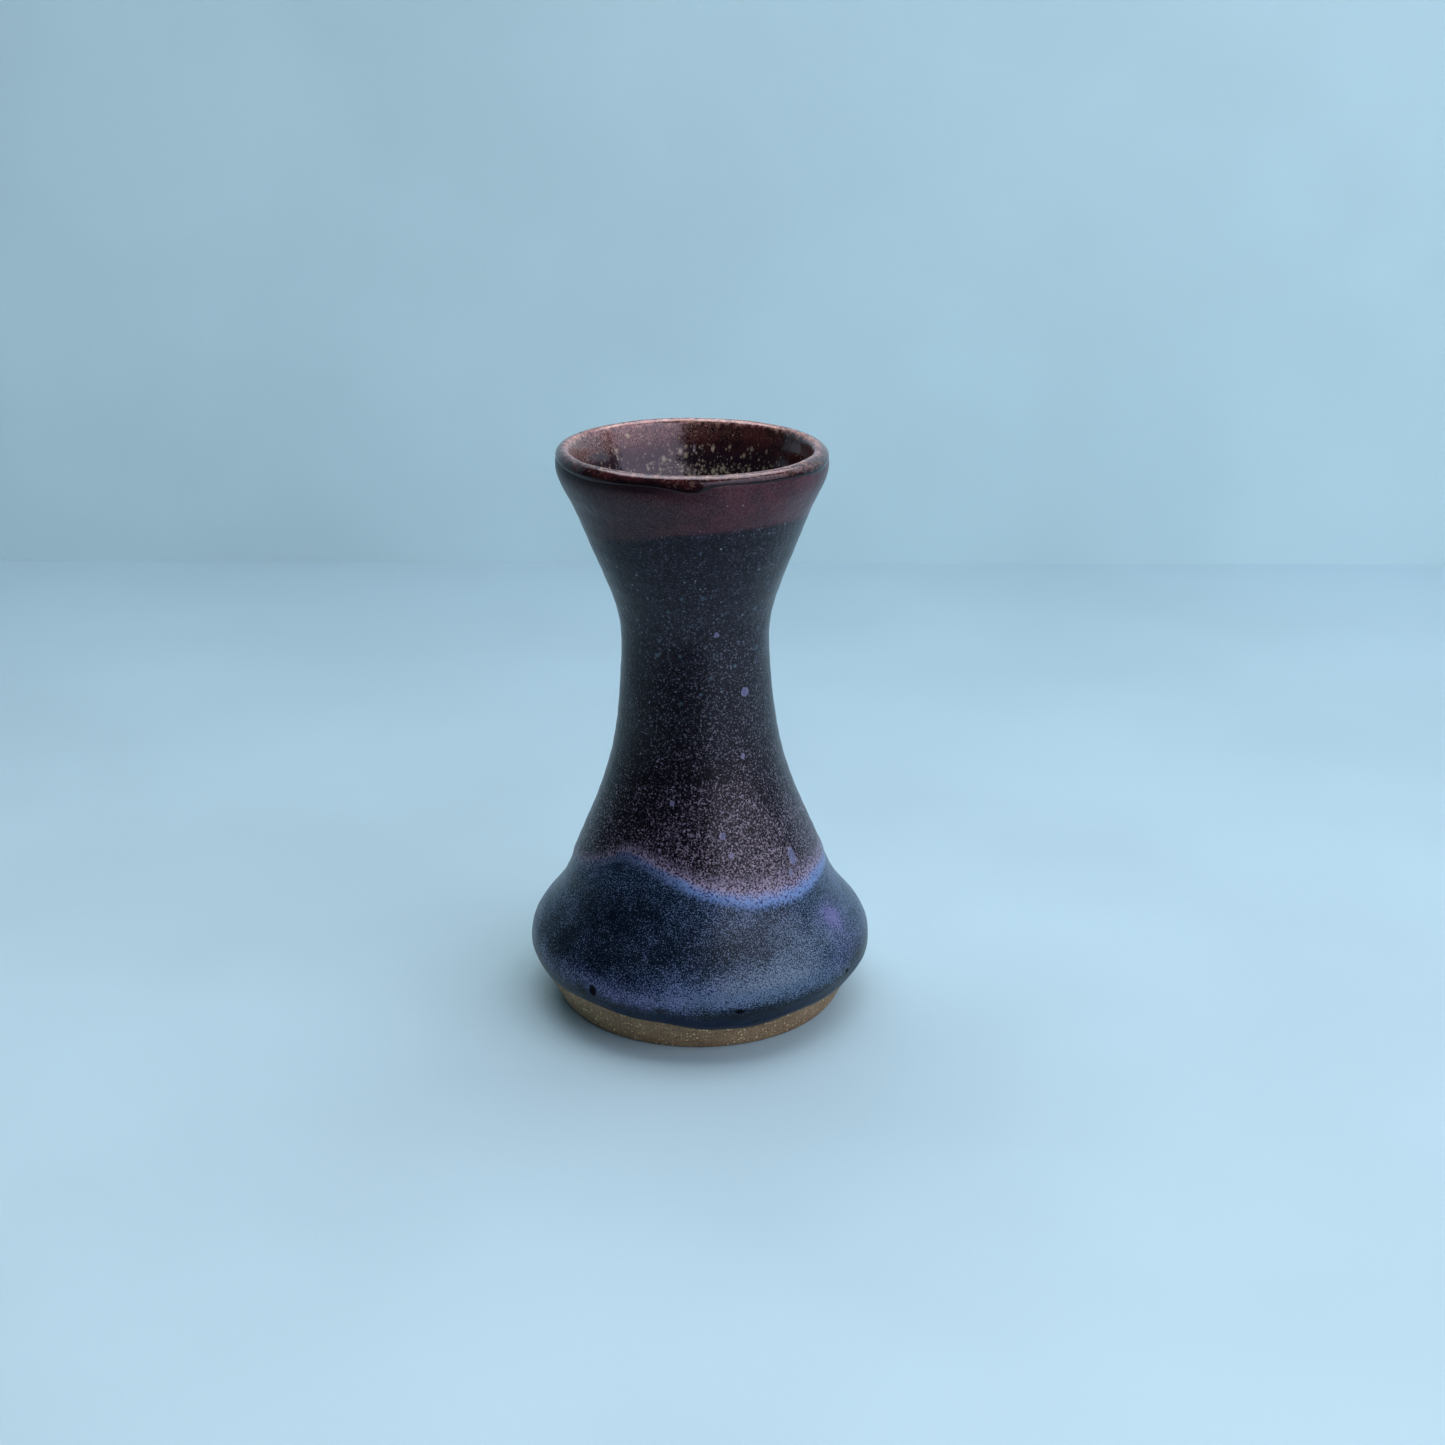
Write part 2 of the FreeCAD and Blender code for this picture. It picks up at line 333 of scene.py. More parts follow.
def lathe_mesh(name, rows, joined, fields=None):
    """A closed mesh from rings of points. Joined, its last ring meets its first, and otherwise
    its two end rings close on the axis. Fields are values for each point, read by materials."""
    ring_count, columns = rows.shape[:2]
    points = rows.reshape(-1, 3)
    ring = np.arange(ring_count if joined else ring_count - 1)[:, None]
    column = np.arange(columns)[None, :]
    next_ring = (ring + 1) % ring_count
    next_column = (column + 1) % columns
    corners = [ring * columns + column, ring * columns + next_column,
               next_ring * columns + next_column, next_ring * columns + column]
    quads = np.stack(corners, axis=-1).reshape(-1, 4)
    caps = np.zeros((0, 3), int)
    if not joined:
        first, last = len(points), len(points) + 1
        points = np.concatenate([points, rows[:1].mean(axis=1), rows[-1:].mean(axis=1)])
        base = (ring_count - 1) * columns
        here, there = column[0], next_column[0]
        bottom = np.stack([np.full(columns, first), there, here], axis=-1)
        top = np.stack([np.full(columns, last), base + here, base + there], axis=-1)
        caps = np.concatenate([bottom, top])
    mesh = bpy.data.meshes.new(name)
    mesh.vertices.add(len(points))
    mesh.vertices.foreach_set("co", points.ravel())
    mesh.loops.add(quads.size + caps.size)
    mesh.loops.foreach_set("vertex_index", np.concatenate([quads.ravel(), caps.ravel()]))
    mesh.polygons.add(len(quads) + len(caps))
    starts = np.concatenate([np.arange(len(quads)) * 4, quads.size + np.arange(len(caps)) * 3])
    mesh.polygons.foreach_set("loop_start", starts)
    mesh.polygons.foreach_set("use_smooth", np.ones(len(starts), bool))
    mesh.update(calc_edges=True)
    mesh.validate()
    mesh.set_sharp_from_angle(angle=math.radians(SHARP_ANGLE))
    for field, values in (fields or {}).items():
        flat = np.zeros(len(points), np.float32)
        flat[:ring_count * columns] = np.broadcast_to(values, (ring_count, columns)).ravel()
        mesh.attributes.new(field, "FLOAT", "POINT").data.foreach_set("value", flat)
    piece = bpy.data.objects.new(name, mesh)
    bpy.context.scene.collection.objects.link(piece)
    return piece


# Zones of the glazes, as (angle, height, half width, half height, amount added), in degrees and
# millimetres: how thickly pale crystals lie on the blue glaze, how violet and how green they are
FROST = 0.34
FROST_ZONES = [
    (-36.0, 24.0, 34.0, 9.0, -0.20), (-55.0, 18.0, 24.0, 4.0, -0.12),
    (2.0, 19.5, 20.0, 3.4, -0.14), (-6.0, 13.6, 44.0, 3.6, 0.28), (20.0, 15.2, 24.0, 4.0, 0.10),
    (48.0, 19.0, 30.0, 7.0, 0.10), (63.0, 21.5, 6.5, 2.6, 0.20), (24.0, 9.4, 36.0, 2.5, -0.48),
    (72.0, 12.0, 14.0, 3.4, -0.34), (-20.0, 15.4, 7.0, 1.8, -0.14),
    (150.0, 12.0, 50.0, 4.0, 0.24), (-130.0, 13.0, 40.0, 5.0, 0.18),
    (-172.0, 23.0, 40.0, 6.0, -0.12), (118.0, 22.0, 26.0, 6.0, 0.10),
]
VIOLET_ZONES = [
    (-34.0, 12.0, 34.0, 4.0, 0.65), (63.0, 21.5, 7.0, 3.0, 1.1), (60.0, 15.5, 12.0, 2.4, 0.55),
    (150.0, 14.0, 30.0, 5.0, 0.6), (-120.0, 20.0, 26.0, 5.0, 0.5),
]
GREEN_ZONES = [
    (33.0, 17.0, 26.0, 8.0, 0.8), (50.0, 9.0, 20.0, 2.4, 0.5), (-150.0, 16.0, 30.0, 7.0, 0.6),
    (105.0, 16.0, 20.0, 5.0, 0.6),
]
# Cream crystals inside the mouth, the same way but by millimetres past the crest of the lip
CRYSTAL_ZONES = [
    (164.0, 15.5, 34.0, 6.0, 0.95), (-160.0, 13.0, 45.0, 6.0, 0.55),
    (-110.0, 13.0, 30.0, 5.0, 0.35), (120.0, 15.0, 30.0, 6.0, 0.55),
    (0.0, 18.0, 80.0, 7.0, 0.5), (180.0, 7.0, 60.0, 4.0, 0.16),
]
# How clearly the mixed band of the two glazes shows, as (angle, amount)
BAND_GLOW = [
    (-160, 0.6), (-120, 0.5), (-80, 0.44), (-50, 0.5), (-32, 0.62), (-18, 0.7), (-5, 0.86),
    (8, 0.95), (25, 1.0), (60, 0.95), (85, 0.8), (110, 0.6), (145, 0.7), (175, 0.7),
]


def zoned(base, zones, angle, height):
    """The base amount with every zone's share added to it."""
    amount = np.full(np.broadcast(angle, height).shape, base)
    for at_angle, at_height, half_width, half_height, add in zones:
        across = ((angle - at_angle + 180.0) % 360.0 - 180.0) / half_width
        amount += add * np.exp(-across ** 2 - ((height - at_height) / half_height) ** 2)
    return amount


def skin_fields(place):
    """Everything the glaze materials read from the mesh, in millimetres or as shares."""
    height = skin.at(place)[1]
    return {
        "above_foot": place - foot_place,
        "above_run": place - run_place,
        "run_share": (place - run_place) / (band_place - run_place),
        "above_collar": place - collar_place,
        "above_lip": place - lip_place,
        "past_crest": place - crest_place,
        "height": height,
        "leftward": np.broadcast_to(-np.sin(np.radians(turn)), height.shape),
        "crystals": zoned(0.0, CRYSTAL_ZONES, turn, place - crest_place),
        "frost": zoned(FROST, FROST_ZONES, turn, height),
        "violet": zoned(0.0, VIOLET_ZONES, turn, height),
        "green": zoned(0.0, GREEN_ZONES, turn, height),
        "glow": np.broadcast_to(around(BAND_GLOW, turn), height.shape),
        "spot": distance_to_marks(spots, turn, place),
        "pit": distance_to_marks(pits, turn, place),
    }


# Rows of the meshes. What lies out of sight, behind the glaze, has few of them.
BACKING_ROWS = 7        # on the back of a coat
BACKING_SPACING = 4.0   # millimetres between the rows of the liner's back
LINER_SPACING = 0.75    # of its front
BARE_SPACING = 0.16     # of the bare clay
COVERED_SPACING = 1.6   # of the clay under the glaze
COVERED_FROM = 1.2      # which starts this far above the drawn line
UNDERSIDE_ROWS = 60     # under the foot


def coat_piece(name, low, high, spacing):
    """A coat of glaze between two lines on the skin: its surface, and its back on the clay."""
    front = rows_between(low, high, spacing)
    share = np.linspace(1.0, 0.0, BACKING_ROWS)[:, None]
    back = low + (high - low) * share
    place = np.concatenate([front, back])
    relief = np.concatenate([glaze_relief(turn, front), np.full(back.shape, -COAT)])
    piece = lathe_mesh(name, skin_points(place, relief), True, skin_fields(place))
    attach(piece, "root")
    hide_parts(name)
    return piece


def liner_piece():
    """The glaze inside, from the lip down to the middle of the floor, and its back."""
    front = rows_between(inner_lip_place, floor_place, LINER_SPACING)
    back = rows_between(inner_lip_place, floor_place, BACKING_SPACING)
    place = np.concatenate([back[::-1], front])
    relief = np.concatenate([np.full(back.shape, -COAT), glaze_relief(turn, front)])
    piece = lathe_mesh("liner_glaze", skin_points(place, relief), False, skin_fields(place))
    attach(piece, "root")
    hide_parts("liner_glaze")
    return piece


FOOT_ROUNDING = 0.9     # the outside starts this high, above the rounded edge of the foot


def clay_relief(angle, place):
    """Fine turning marks, sand and soft unevenness of the bare clay, in millimetres."""
    turning = np.sin(place * 2.0 * math.pi / 1.3 + np.radians(angle) * 2.0)
    sand = undulation(11, angle, place, waves=60, coarsest=1.9, finest=0.8)
    uneven = undulation(12, angle, place, waves=20, coarsest=14.0, finest=5.0)
    return 0.012 * turning + 0.02 * sand + 0.03 * uneven


def clay_piece():
    """The fired clay: its underside, its bare foot, and its surface under the glaze."""
    under = Profile(UNDERSIDE)
    under_place = np.linspace(0.0, under.length[-1], UNDERSIDE_ROWS)[:, None] + np.zeros(COLUMNS)
    radius, height = under.at(under_place)[:2]
    underside = leaning(radius, height, turn)
    foot_start = skin.place_of_height(FOOT_ROUNDING)
    covered = foot_place + COVERED_FROM
    bare = rows_between(np.full(COLUMNS, foot_start), covered, BARE_SPACING)
    rest = rows_between(covered, floor_place, COVERED_SPACING)[1:]
    place = np.concatenate([bare, rest])
    bareness = 1.0 - soft_step(place - foot_place, -0.1, 0.6)
    relief = -COAT + (COAT - WIPED + clay_relief(turn, place)) * bareness
    outside = skin_points(place, relief)
    piece = lathe_mesh("clay_body", np.concatenate([underside, outside]), False)
    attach(piece, "root")
    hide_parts("clay_body")
    return piece


# ---------------------------------------------------------------------------------------------
# Nodes of the materials
# ---------------------------------------------------------------------------------------------
def srgb(red, green, blue):
    """A colour given as it looks on a screen, 0 to 255, as the linear colour Blender reads."""
    def linear(value):
        share = value / 255.0
        return share / 12.92 if share <= 0.04045 else ((share + 0.055) / 1.055) ** 2.4
    return (linear(red), linear(green), linear(blue), 1.0)


RIM_RADIUS = 24.0       # streaks keep the width that they have at this distance from the axis


class Nodes:
    """Short names for building a material's nodes. Values may be numbers or other outputs."""

    def __init__(self, name):
        self.material = bpy.data.materials.new(name)
        self.material.use_nodes = True
        self.tree = self.material.node_tree
        self.tree.nodes.clear()
        self.position = self.add("ShaderNodeTexCoord").outputs["Object"]

    def add(self, kind, **settings):
        node = self.tree.nodes.new(kind)
        for key, value in settings.items():
            setattr(node, key, value)
        return node

    def put(self, socket, value):
        if isinstance(value, bpy.types.NodeSocket):
            self.tree.links.new(value, socket)
        else:
            socket.default_value = value

    def math(self, operation, a, b=0.0, clamp=False):
        node = self.add("ShaderNodeMath", operation=operation, use_clamp=clamp)
        self.put(node.inputs[0], a)
        self.put(node.inputs[1], b)
        return node.outputs[0]

    def plus(self, a, b, clamp=False):
        return self.math("ADD", a, b, clamp)

    def minus(self, a, b):
        return self.math("SUBTRACT", a, b)

    def times(self, a, b):
        return self.math("MULTIPLY", a, b)

    def step(self, value, low, high, start=0.0, end=1.0):
        """Goes smoothly from start to end as value goes from low to high."""
        node = self.add("ShaderNodeMapRange", interpolation_type="SMOOTHSTEP")
        for socket, given in zip(node.inputs, (value, low, high, start, end)):
            self.put(socket, given)
        return node.outputs[0]

    def mix(self, share, a, b):
        node = self.add("ShaderNodeMix", data_type="RGBA")
        self.put(node.inputs["Factor"], share)
        self.put(node.inputs[6], a)
        self.put(node.inputs[7], b)
        return node.outputs[2]

    def field(self, name):
        return self.add("ShaderNodeAttribute", attribute_name=name).outputs["Fac"]

    def scaled(self, x, y, z, source=None):
        node = self.add("ShaderNodeVectorMath", operation="MULTIPLY")
        self.put(node.inputs[0], source or self.position)
        node.inputs[1].default_value = (x, y, z)
        return node.outputs[0]

    def noise(self, size, detail=0.0, roughness=0.5, source=None):
        """Noise whose blots are about size millimetres across, between 0 and 1."""
        node = self.add("ShaderNodeTexNoise")
        self.put(node.inputs["Vector"], source or self.position)
        node.inputs["Scale"].default_value = 1.0 / (size * MM)
        node.inputs["Detail"].default_value = detail
        node.inputs["Roughness"].default_value = roughness
        return node.outputs["Fac"]

    def cells(self, size, source=None):
        """Round cells about size millimetres across, each with its own colour."""
        node = self.add("ShaderNodeTexVoronoi")
        self.put(node.inputs["Vector"], source or self.position)
        node.inputs["Scale"].default_value = 1.0 / (size * MM)
        return node

    def grains(self, size, share, softness=0.07):
        """Grains of crystal that cover a share of the surface: 1 on a grain, 0 between."""
        blots = self.noise(size, detail=1.5, roughness=0.55)
        level = self.add("ShaderNodeMapRange")
        for socket, given in zip(level.inputs, (share, 0.0, 1.0, 0.70, 0.30)):
            self.put(socket, given)
        return self.step(self.minus(blots, level.outputs[0]), -softness, softness)

    def dots(self, pitch, radius, share, source=None, softness=0.5):
        """Round dots about a radius wide, one in a share of the cells of a pitch."""
        cells = self.cells(pitch, source=source)
        chance = self.add("ShaderNodeSeparateColor")
        self.put(chance.inputs[0], cells.outputs["Color"])
        wide = radius / pitch
        size = self.step(chance.outputs["Green"], 0.0, 1.0, 0.5 * wide, 1.3 * wide)
        spare = self.minus(share, chance.outputs["Red"])
        reach = self.times(size, self.step(spare, 0.0, 0.1))
        inside = self.minus(reach, cells.outputs["Distance"])
        return self.step(inside, 0.0, softness * wide)

    def meridian(self, size_around, size_up):
        """Coordinates stretched along the run of the glaze, for streaks."""
        flat = self.scaled(1.0, 1.0, 0.0)
        unit = self.add("ShaderNodeVectorMath", operation="NORMALIZE")
        self.put(unit.inputs[0], flat)
        around_rim = RIM_RADIUS * MM / size_around
        wide = self.scaled(around_rim, around_rim, 0.0, unit.outputs[0])
        tall = self.scaled(0.0, 0.0, 1.0 / size_up)
        node = self.add("ShaderNodeVectorMath", operation="ADD")
        self.put(node.inputs[0], wide)
        self.put(node.inputs[1], tall)
        return node.outputs[0]

    def bump(self, height, depth, below=None):
        """Bump of a depth in millimetres for a height between 0 and 1."""
        node = self.add("ShaderNodeBump")
        node.inputs["Distance"].default_value = depth * MM
        self.put(node.inputs["Height"], height)
        if below is not None:
            self.put(node.inputs["Normal"], below)
        return node.outputs["Normal"]

    def finish(self, colour, roughness, normal, sheen_level=0.5, tint=(1.0, 1.0, 1.0, 1.0),
               index=1.5):
        shader = self.add("ShaderNodeBsdfPrincipled")
        self.put(shader.inputs["Base Color"], colour)
        self.put(shader.inputs["Roughness"], roughness)
        self.put(shader.inputs["Normal"], normal)
        self.put(shader.inputs["Specular IOR Level"], sheen_level)
        self.put(shader.inputs["Specular Tint"], tint)
        self.put(shader.inputs["IOR"], index)
        output = self.add("ShaderNodeOutputMaterial")
        self.tree.links.new(shader.outputs[0], output.inputs[0])
        return self.material


# ---------------------------------------------------------------------------------------------
# The satin glazes of the outside
# ---------------------------------------------------------------------------------------------
# Colours of the blue glaze
CRYSTAL_BLUE = srgb(104, 124, 156)
CRYSTAL_VIOLET = srgb(116, 108, 168)
CRYSTAL_GREEN = srgb(92, 120, 142)
CRYSTAL_SPECK = srgb(100, 116, 142)
NAVY = srgb(0, 13, 30)
NAVY_HAZE = srgb(20, 44, 80)
NAVY_VIOLET = srgb(20, 26, 68)
NAVY_SHADE = srgb(1, 5, 12)
GATHERED_NAVY = srgb(8, 26, 50)
BLACK_GLASS = srgb(5, 9, 16)

# Colours of the plum glaze, low on the vase and high on its neck
GRAIN_LOW = srgb(138, 120, 142)
GRAIN_HIGH = srgb(84, 88, 104)
PLUM_LOW = srgb(5, 2, 13)
PLUM_HIGH = srgb(33, 30, 43)
PLUM_SHADE = srgb(2, 3, 8)
PLUM_BLOTCH = srgb(8, 6, 13)
TEAL_SPECK = srgb(80, 94, 108)
LARGE_TEAL_SPECK = srgb(72, 92, 106)

# Colours of the collar
COLLAR_BROWN = srgb(50, 32, 36)
COLLAR_RED = srgb(82, 38, 46)
COLLAR_SHADE = srgb(30, 22, 28)
COLLAR_DARK_GRAIN = srgb(20, 10, 16)
COLLAR_PALE_GRAIN = srgb(120, 90, 100)
COLLAR_CRYSTAL = srgb(104, 84, 92)
# darker colour for a band just below the lip, on the left-hand side
DARK_BELOW_LIP = srgb(22, 12, 16)
WHITE_SPECK = srgb(150, 148, 150)

# Colours of the mixed band and of the marks
BAND_FAINT = srgb(80, 92, 126)
BAND_BLUE = srgb(108, 136, 186)
BAND_LILAC = srgb(150, 136, 162)
BAND_BLUE_GRAIN = srgb(40, 58, 106)
BAND_PLUM_GRAIN = srgb(30, 18, 34)
SPOT_RIM = srgb(124, 122, 152)
SPOT_DARK = srgb(62, 72, 108)
SPOT_PALE = srgb(86, 92, 128)
PIT = srgb(3, 5, 9)
NEUTRAL_SHINE = srgb(255, 255, 255)
PLUM_SHINE = srgb(255, 246, 255)


def blue_coat(n, fine, drift, wavy):
    """The blue glaze, navy under pale crystals: its colour, and where the crystals are."""
    above_foot = n.field("above_foot")
    frost = n.plus(n.field("frost"), n.times(drift, 0.45))
    grains = n.grains(0.25, frost, 0.11)
    violet = n.plus(n.field("violet"), n.times(drift, 0.8), clamp=True)
    crystal = n.mix(violet, CRYSTAL_BLUE, CRYSTAL_VIOLET)
    crystal = n.mix(n.field("green"), crystal, CRYSTAL_GREEN)
    navy = n.mix(n.step(frost, 0.1, 0.75), NAVY, NAVY_HAZE)
    navy = n.mix(n.times(violet, n.step(frost, 0.2, 0.5)), navy, NAVY_VIOLET)
    navy = n.mix(fine, n.mix(0.5, navy, NAVY_SHADE), navy)
    blue = n.mix(n.times(grains, 0.86), navy, crystal)
    blue = n.mix(n.dots(0.8, 0.14, 0.3), blue, CRYSTAL_SPECK)
    # smooth and dark where it gathered above the bare clay, with nearly black patches over that
    gathered = n.step(n.plus(above_foot, n.times(wavy, 3.6)), 2.4, 4.9)
    blue = n.mix(gathered, GATHERED_NAVY, blue)
    black_patch = n.times(n.step(wavy, 0.04, 0.14), n.step(above_foot, 1.4, 2.6))
    black_patch = n.times(black_patch, n.step(above_foot, 5.6, 3.6, 0.0, 0.9))
    return n.mix(black_patch, blue, BLACK_GLASS), grains


def plum_coat(n, fine, drift):
    """The plum glaze, nearly black, with pinkish grains that thin out up the neck, and fewer of
    them on the left as painted shade: its colour, and where the grains are."""
    height = n.field("height")
    share = n.plus(n.step(height, 30.0, 58.0, 0.48, 0.27), n.times(drift, 0.3))
    share = n.minus(share, n.step(height, 66.0, 88.0, 0.0, 0.05))
    # painted shade: fewer grains on the left-hand side keep that side darker, as if turned away
    # from the light
    share = n.minus(share, n.step(n.field("leftward"), 0.2, 0.8, 0.0, 0.12))
    grains = n.grains(0.36, share, 0.055)
    grain = n.mix(n.step(height, 36.0, 74.0), GRAIN_LOW, GRAIN_HIGH)
    dark = n.mix(n.step(height, 50.0, 84.0), PLUM_LOW, PLUM_HIGH)
    dark = n.mix(fine, n.mix(0.5, dark, PLUM_SHADE), dark)
    grain = n.mix(n.step(n.noise(0.7), 0.62, 0.38, 0.0, 0.75), grain, dark)
    grain = n.mix(fine, n.mix(0.5, grain, dark), grain)
    blotch = n.minus(1.0, n.step(n.noise(0.7, detail=2.0), 0.4, 0.58))
    dark = n.mix(n.times(blotch, n.step(height, 44.0, 70.0)), dark, PLUM_BLOTCH)
    plum = n.mix(grains, dark, grain)
    specks = n.dots(1.0, 0.26, n.step(height, 104.0, 70.0, 0.2, 0.45))
    plum = n.mix(n.times(specks, n.step(height, 50.0, 72.0, 0.0, 0.75)), plum, TEAL_SPECK)
    large_specks = n.times(n.dots(2.1, 0.5, 0.45), n.step(height, 60.0, 72.0, 0.0, 0.6))
    large_specks = n.times(large_specks, n.step(height, 100.0, 88.0))
    return n.mix(large_specks, plum, LARGE_TEAL_SPECK), grains


def collar_coat(n, fine, drift, wavy, grains):
    """The red collar, browner on the left, and darker in a band just below the lip on the left."""
    leftward = n.field("leftward")
    collar = n.mix(n.step(leftward, 0.8, -0.7), COLLAR_BROWN, COLLAR_RED)
    collar = n.mix(n.step(drift, -0.1, 0.12), collar, n.mix(0.5, collar, COLLAR_SHADE))
    dark_grain = n.mix(0.35, collar, COLLAR_DARK_GRAIN)
    collar = n.mix(fine, dark_grain, n.mix(0.14, collar, COLLAR_PALE_GRAIN))
    collar = n.mix(n.times(grains, 0.28), collar, COLLAR_CRYSTAL)
    # a darker band just below the edge of the lip glaze, on the left-hand side
    below_lip = n.plus(n.field("above_lip"), n.times(wavy, 0.8))
    dark_below_lip = n.times(n.step(below_lip, -1.7, -0.9, 0.0, 0.8), n.step(leftward, -0.1, 0.35))
    return n.mix(dark_below_lip, collar, DARK_BELOW_LIP)


def mixed_band(n, wavy):
    """Lavender blue below, pinkish lilac above, broken by dark grains: its colour, and how
    much of it shows over the plum glaze."""
    glow = n.field("glow")
    share = n.plus(n.field("run_share"), n.times(wavy, 0.3))
    lower = n.mix(n.step(glow, 0.5, 0.9), BAND_FAINT, BAND_BLUE)
    band = n.mix(n.step(share, 0.25, 0.75), lower, BAND_LILAC)
    grain = n.mix(n.step(share, 0.3, 0.8), BAND_BLUE_GRAIN, BAND_PLUM_GRAIN)
    grains = n.grains(0.4, n.step(share, 0.1, 0.9, 0.3, 0.48), 0.05)
    return n.mix(grains, band, grain), n.times(n.step(share, 1.5, 0.6), glow)


def with_marks(n, colour, ragged, wavy):
    """The colour with its blue spots and dark pits."""
    spot = n.plus(n.field("spot"), n.times(ragged, 0.7))
    colour = n.mix(n.step(spot, 0.22, 0.0, 0.0, 0.75), colour, SPOT_RIM)
    core = n.mix(n.step(wavy, -0.1, 0.1), SPOT_DARK, SPOT_PALE)
    colour = n.mix(n.step(spot, -0.1, -0.3, 0.0, 0.7), colour, core)
    return n.mix(n.step(n.field("pit"), 0.2, -0.2), colour, PIT)


def outer_glaze(name):
    """The satin glaze of the outside. Its colour follows the fields, so that it flows from one
    coat into the next: blue below the run, a lilac band, plum up the neck, a redder collar."""
    n = Nodes(name)
    height = n.field("height")
    drift = n.minus(n.noise(5.0, detail=2.0), 0.5)
    ragged = n.minus(n.noise(0.45, detail=1.0), 0.5)
    wavy = n.minus(n.noise(2.2, detail=1.0), 0.5)
    fine = n.step(n.noise(0.34, detail=1.0), 0.35, 0.65)

    blue, blue_grains = blue_coat(n, fine, drift, wavy)
    above, plum_grains = plum_coat(n, fine, drift)
    collar = collar_coat(n, fine, drift, wavy, plum_grains)
    collar_edge = n.plus(n.field("above_collar"), n.times(drift, 2.0))
    above = n.mix(n.step(collar_edge, -0.7, 0.7), above, collar)
    white_specks = n.times(n.dots(1.0, 0.14, 0.3), n.step(height, 76.0, 92.0, 0.0, 0.8))
    above = n.mix(white_specks, above, WHITE_SPECK)
    band, shown = mixed_band(n, wavy)
    above = n.mix(shown, above, band)
    edge = n.plus(n.field("above_run"), n.times(ragged, 3.0))
    edge = n.plus(edge, n.times(wavy, 0.8))
    colour = with_marks(n, n.mix(n.step(edge, -1.0, 0.8), blue, above), ragged, wavy)

    # crystals are duller than the glass between them and stand out where light skims over
    plum_side = n.step(n.field("above_run"), -0.5, 0.5)
    standing = n.times(plum_grains, n.step(height, 94.0, 66.0, 0.12, 1.0))
    grainy = n.mix(plum_side, n.times(blue_grains, 0.5), standing)
    roughness = n.step(grainy, 0.0, 1.0, 0.3, 0.42)
    glass = n.minus(n.step(height, 36.0, 60.0, 0.19, 0.27), n.step(height, 84.0, 100.0, 0.0, 0.07))
    glass = n.minus(glass, n.step(n.field("leftward"), 0.2, 0.9, 0.0, 0.07))
    sheen = n.step(grainy, 0.0, 1.0, glass, 1.0)
    sheen = n.times(sheen, n.step(n.field("pit"), -0.1, 0.3, 0.15, 1.0))
    tint = n.mix(plum_side, NEUTRAL_SHINE, PLUM_SHINE)
    normal = n.bump(n.noise(0.45, detail=2.0), 0.03)
    return n.finish(colour, roughness, normal, sheen_level=sheen, tint=tint)


# ---------------------------------------------------------------------------------------------
# The glossy glaze of the lip and the inside
# ---------------------------------------------------------------------------------------------
OXBLOOD_DARK = srgb(32, 10, 14)
OXBLOOD = srgb(66, 24, 26)
DEEP_INSIDE = srgb(27, 13, 22)
HAIR_BROWN = srgb(132, 96, 80)
HAIR_PINK = srgb(184, 142, 134)
CREAM_CRYSTAL = srgb(186, 174, 150)
# pale where the glaze breaks thin over the crest, and made paler still as a painted highlight
CREST_PALE_AND_HIGHLIGHT = srgb(226, 174, 156)
CREST_PINK = srgb(186, 126, 116)
CREST_BROWN = srgb(116, 70, 66)
BROWN_FLECK = srgb(122, 86, 74)
# painted shade: the lowest part of the lip glaze, darkened as if in the shadow of its own roll
LIP_UNDERSIDE_SHADE = srgb(18, 6, 9)
OXBLOOD_SHINE = srgb(255, 236, 250)


def with_hairs(n, colour, past):
    """The colour with fine cream runs below the crest, thicker on the left-hand side."""
    leftward = n.field("leftward")
    runs = n.noise(0.15, detail=2.0, source=n.meridian(1.0, 2.4))
    reach = n.times(n.step(leftward, -0.5, 0.7, 0.6, 1.0), n.step(past, 0.3, 2.0))
    cut = n.times(n.step(past, 9.0, 2.5), reach)
    above_cut = n.minus(runs, n.step(cut, 0.0, 1.0, 0.72, 0.47))
    hair = n.mix(n.step(leftward, -0.4, 0.5), HAIR_BROWN, HAIR_PINK)
    return n.mix(n.step(above_cut, -0.06, 0.14, 0.0, 0.62), colour, hair)


def with_crystals(n, colour, blots):
    """The colour with cream crystals, more and larger lower down: drops, specks and curds."""
    share = n.plus(n.field("crystals"), n.times(n.minus(blots, 0.5), 0.5))
    drops = n.dots(1.25, 0.66, share, source=n.meridian(1.0, 1.15), softness=1.2)
    more = n.times(share, 1.2)
    specks = n.dots(0.62, 0.3, more, source=n.meridian(1.0, 1.2), softness=1.0)
    curds = n.step(n.noise(0.6, detail=3.0), n.step(share, 0.2, 1.0, 0.70, 0.48), 0.74)
    crystals = n.math("MAXIMUM", n.times(drops, 0.9), n.times(specks, 0.6))
    crystals = n.math("MAXIMUM", crystals, n.times(curds, 0.7))
    crystals = n.times(crystals, n.step(n.noise(0.3, detail=1.0), 0.25, 0.6, 0.55, 1.0))
    return n.mix(crystals, colour, CREAM_CRYSTAL)


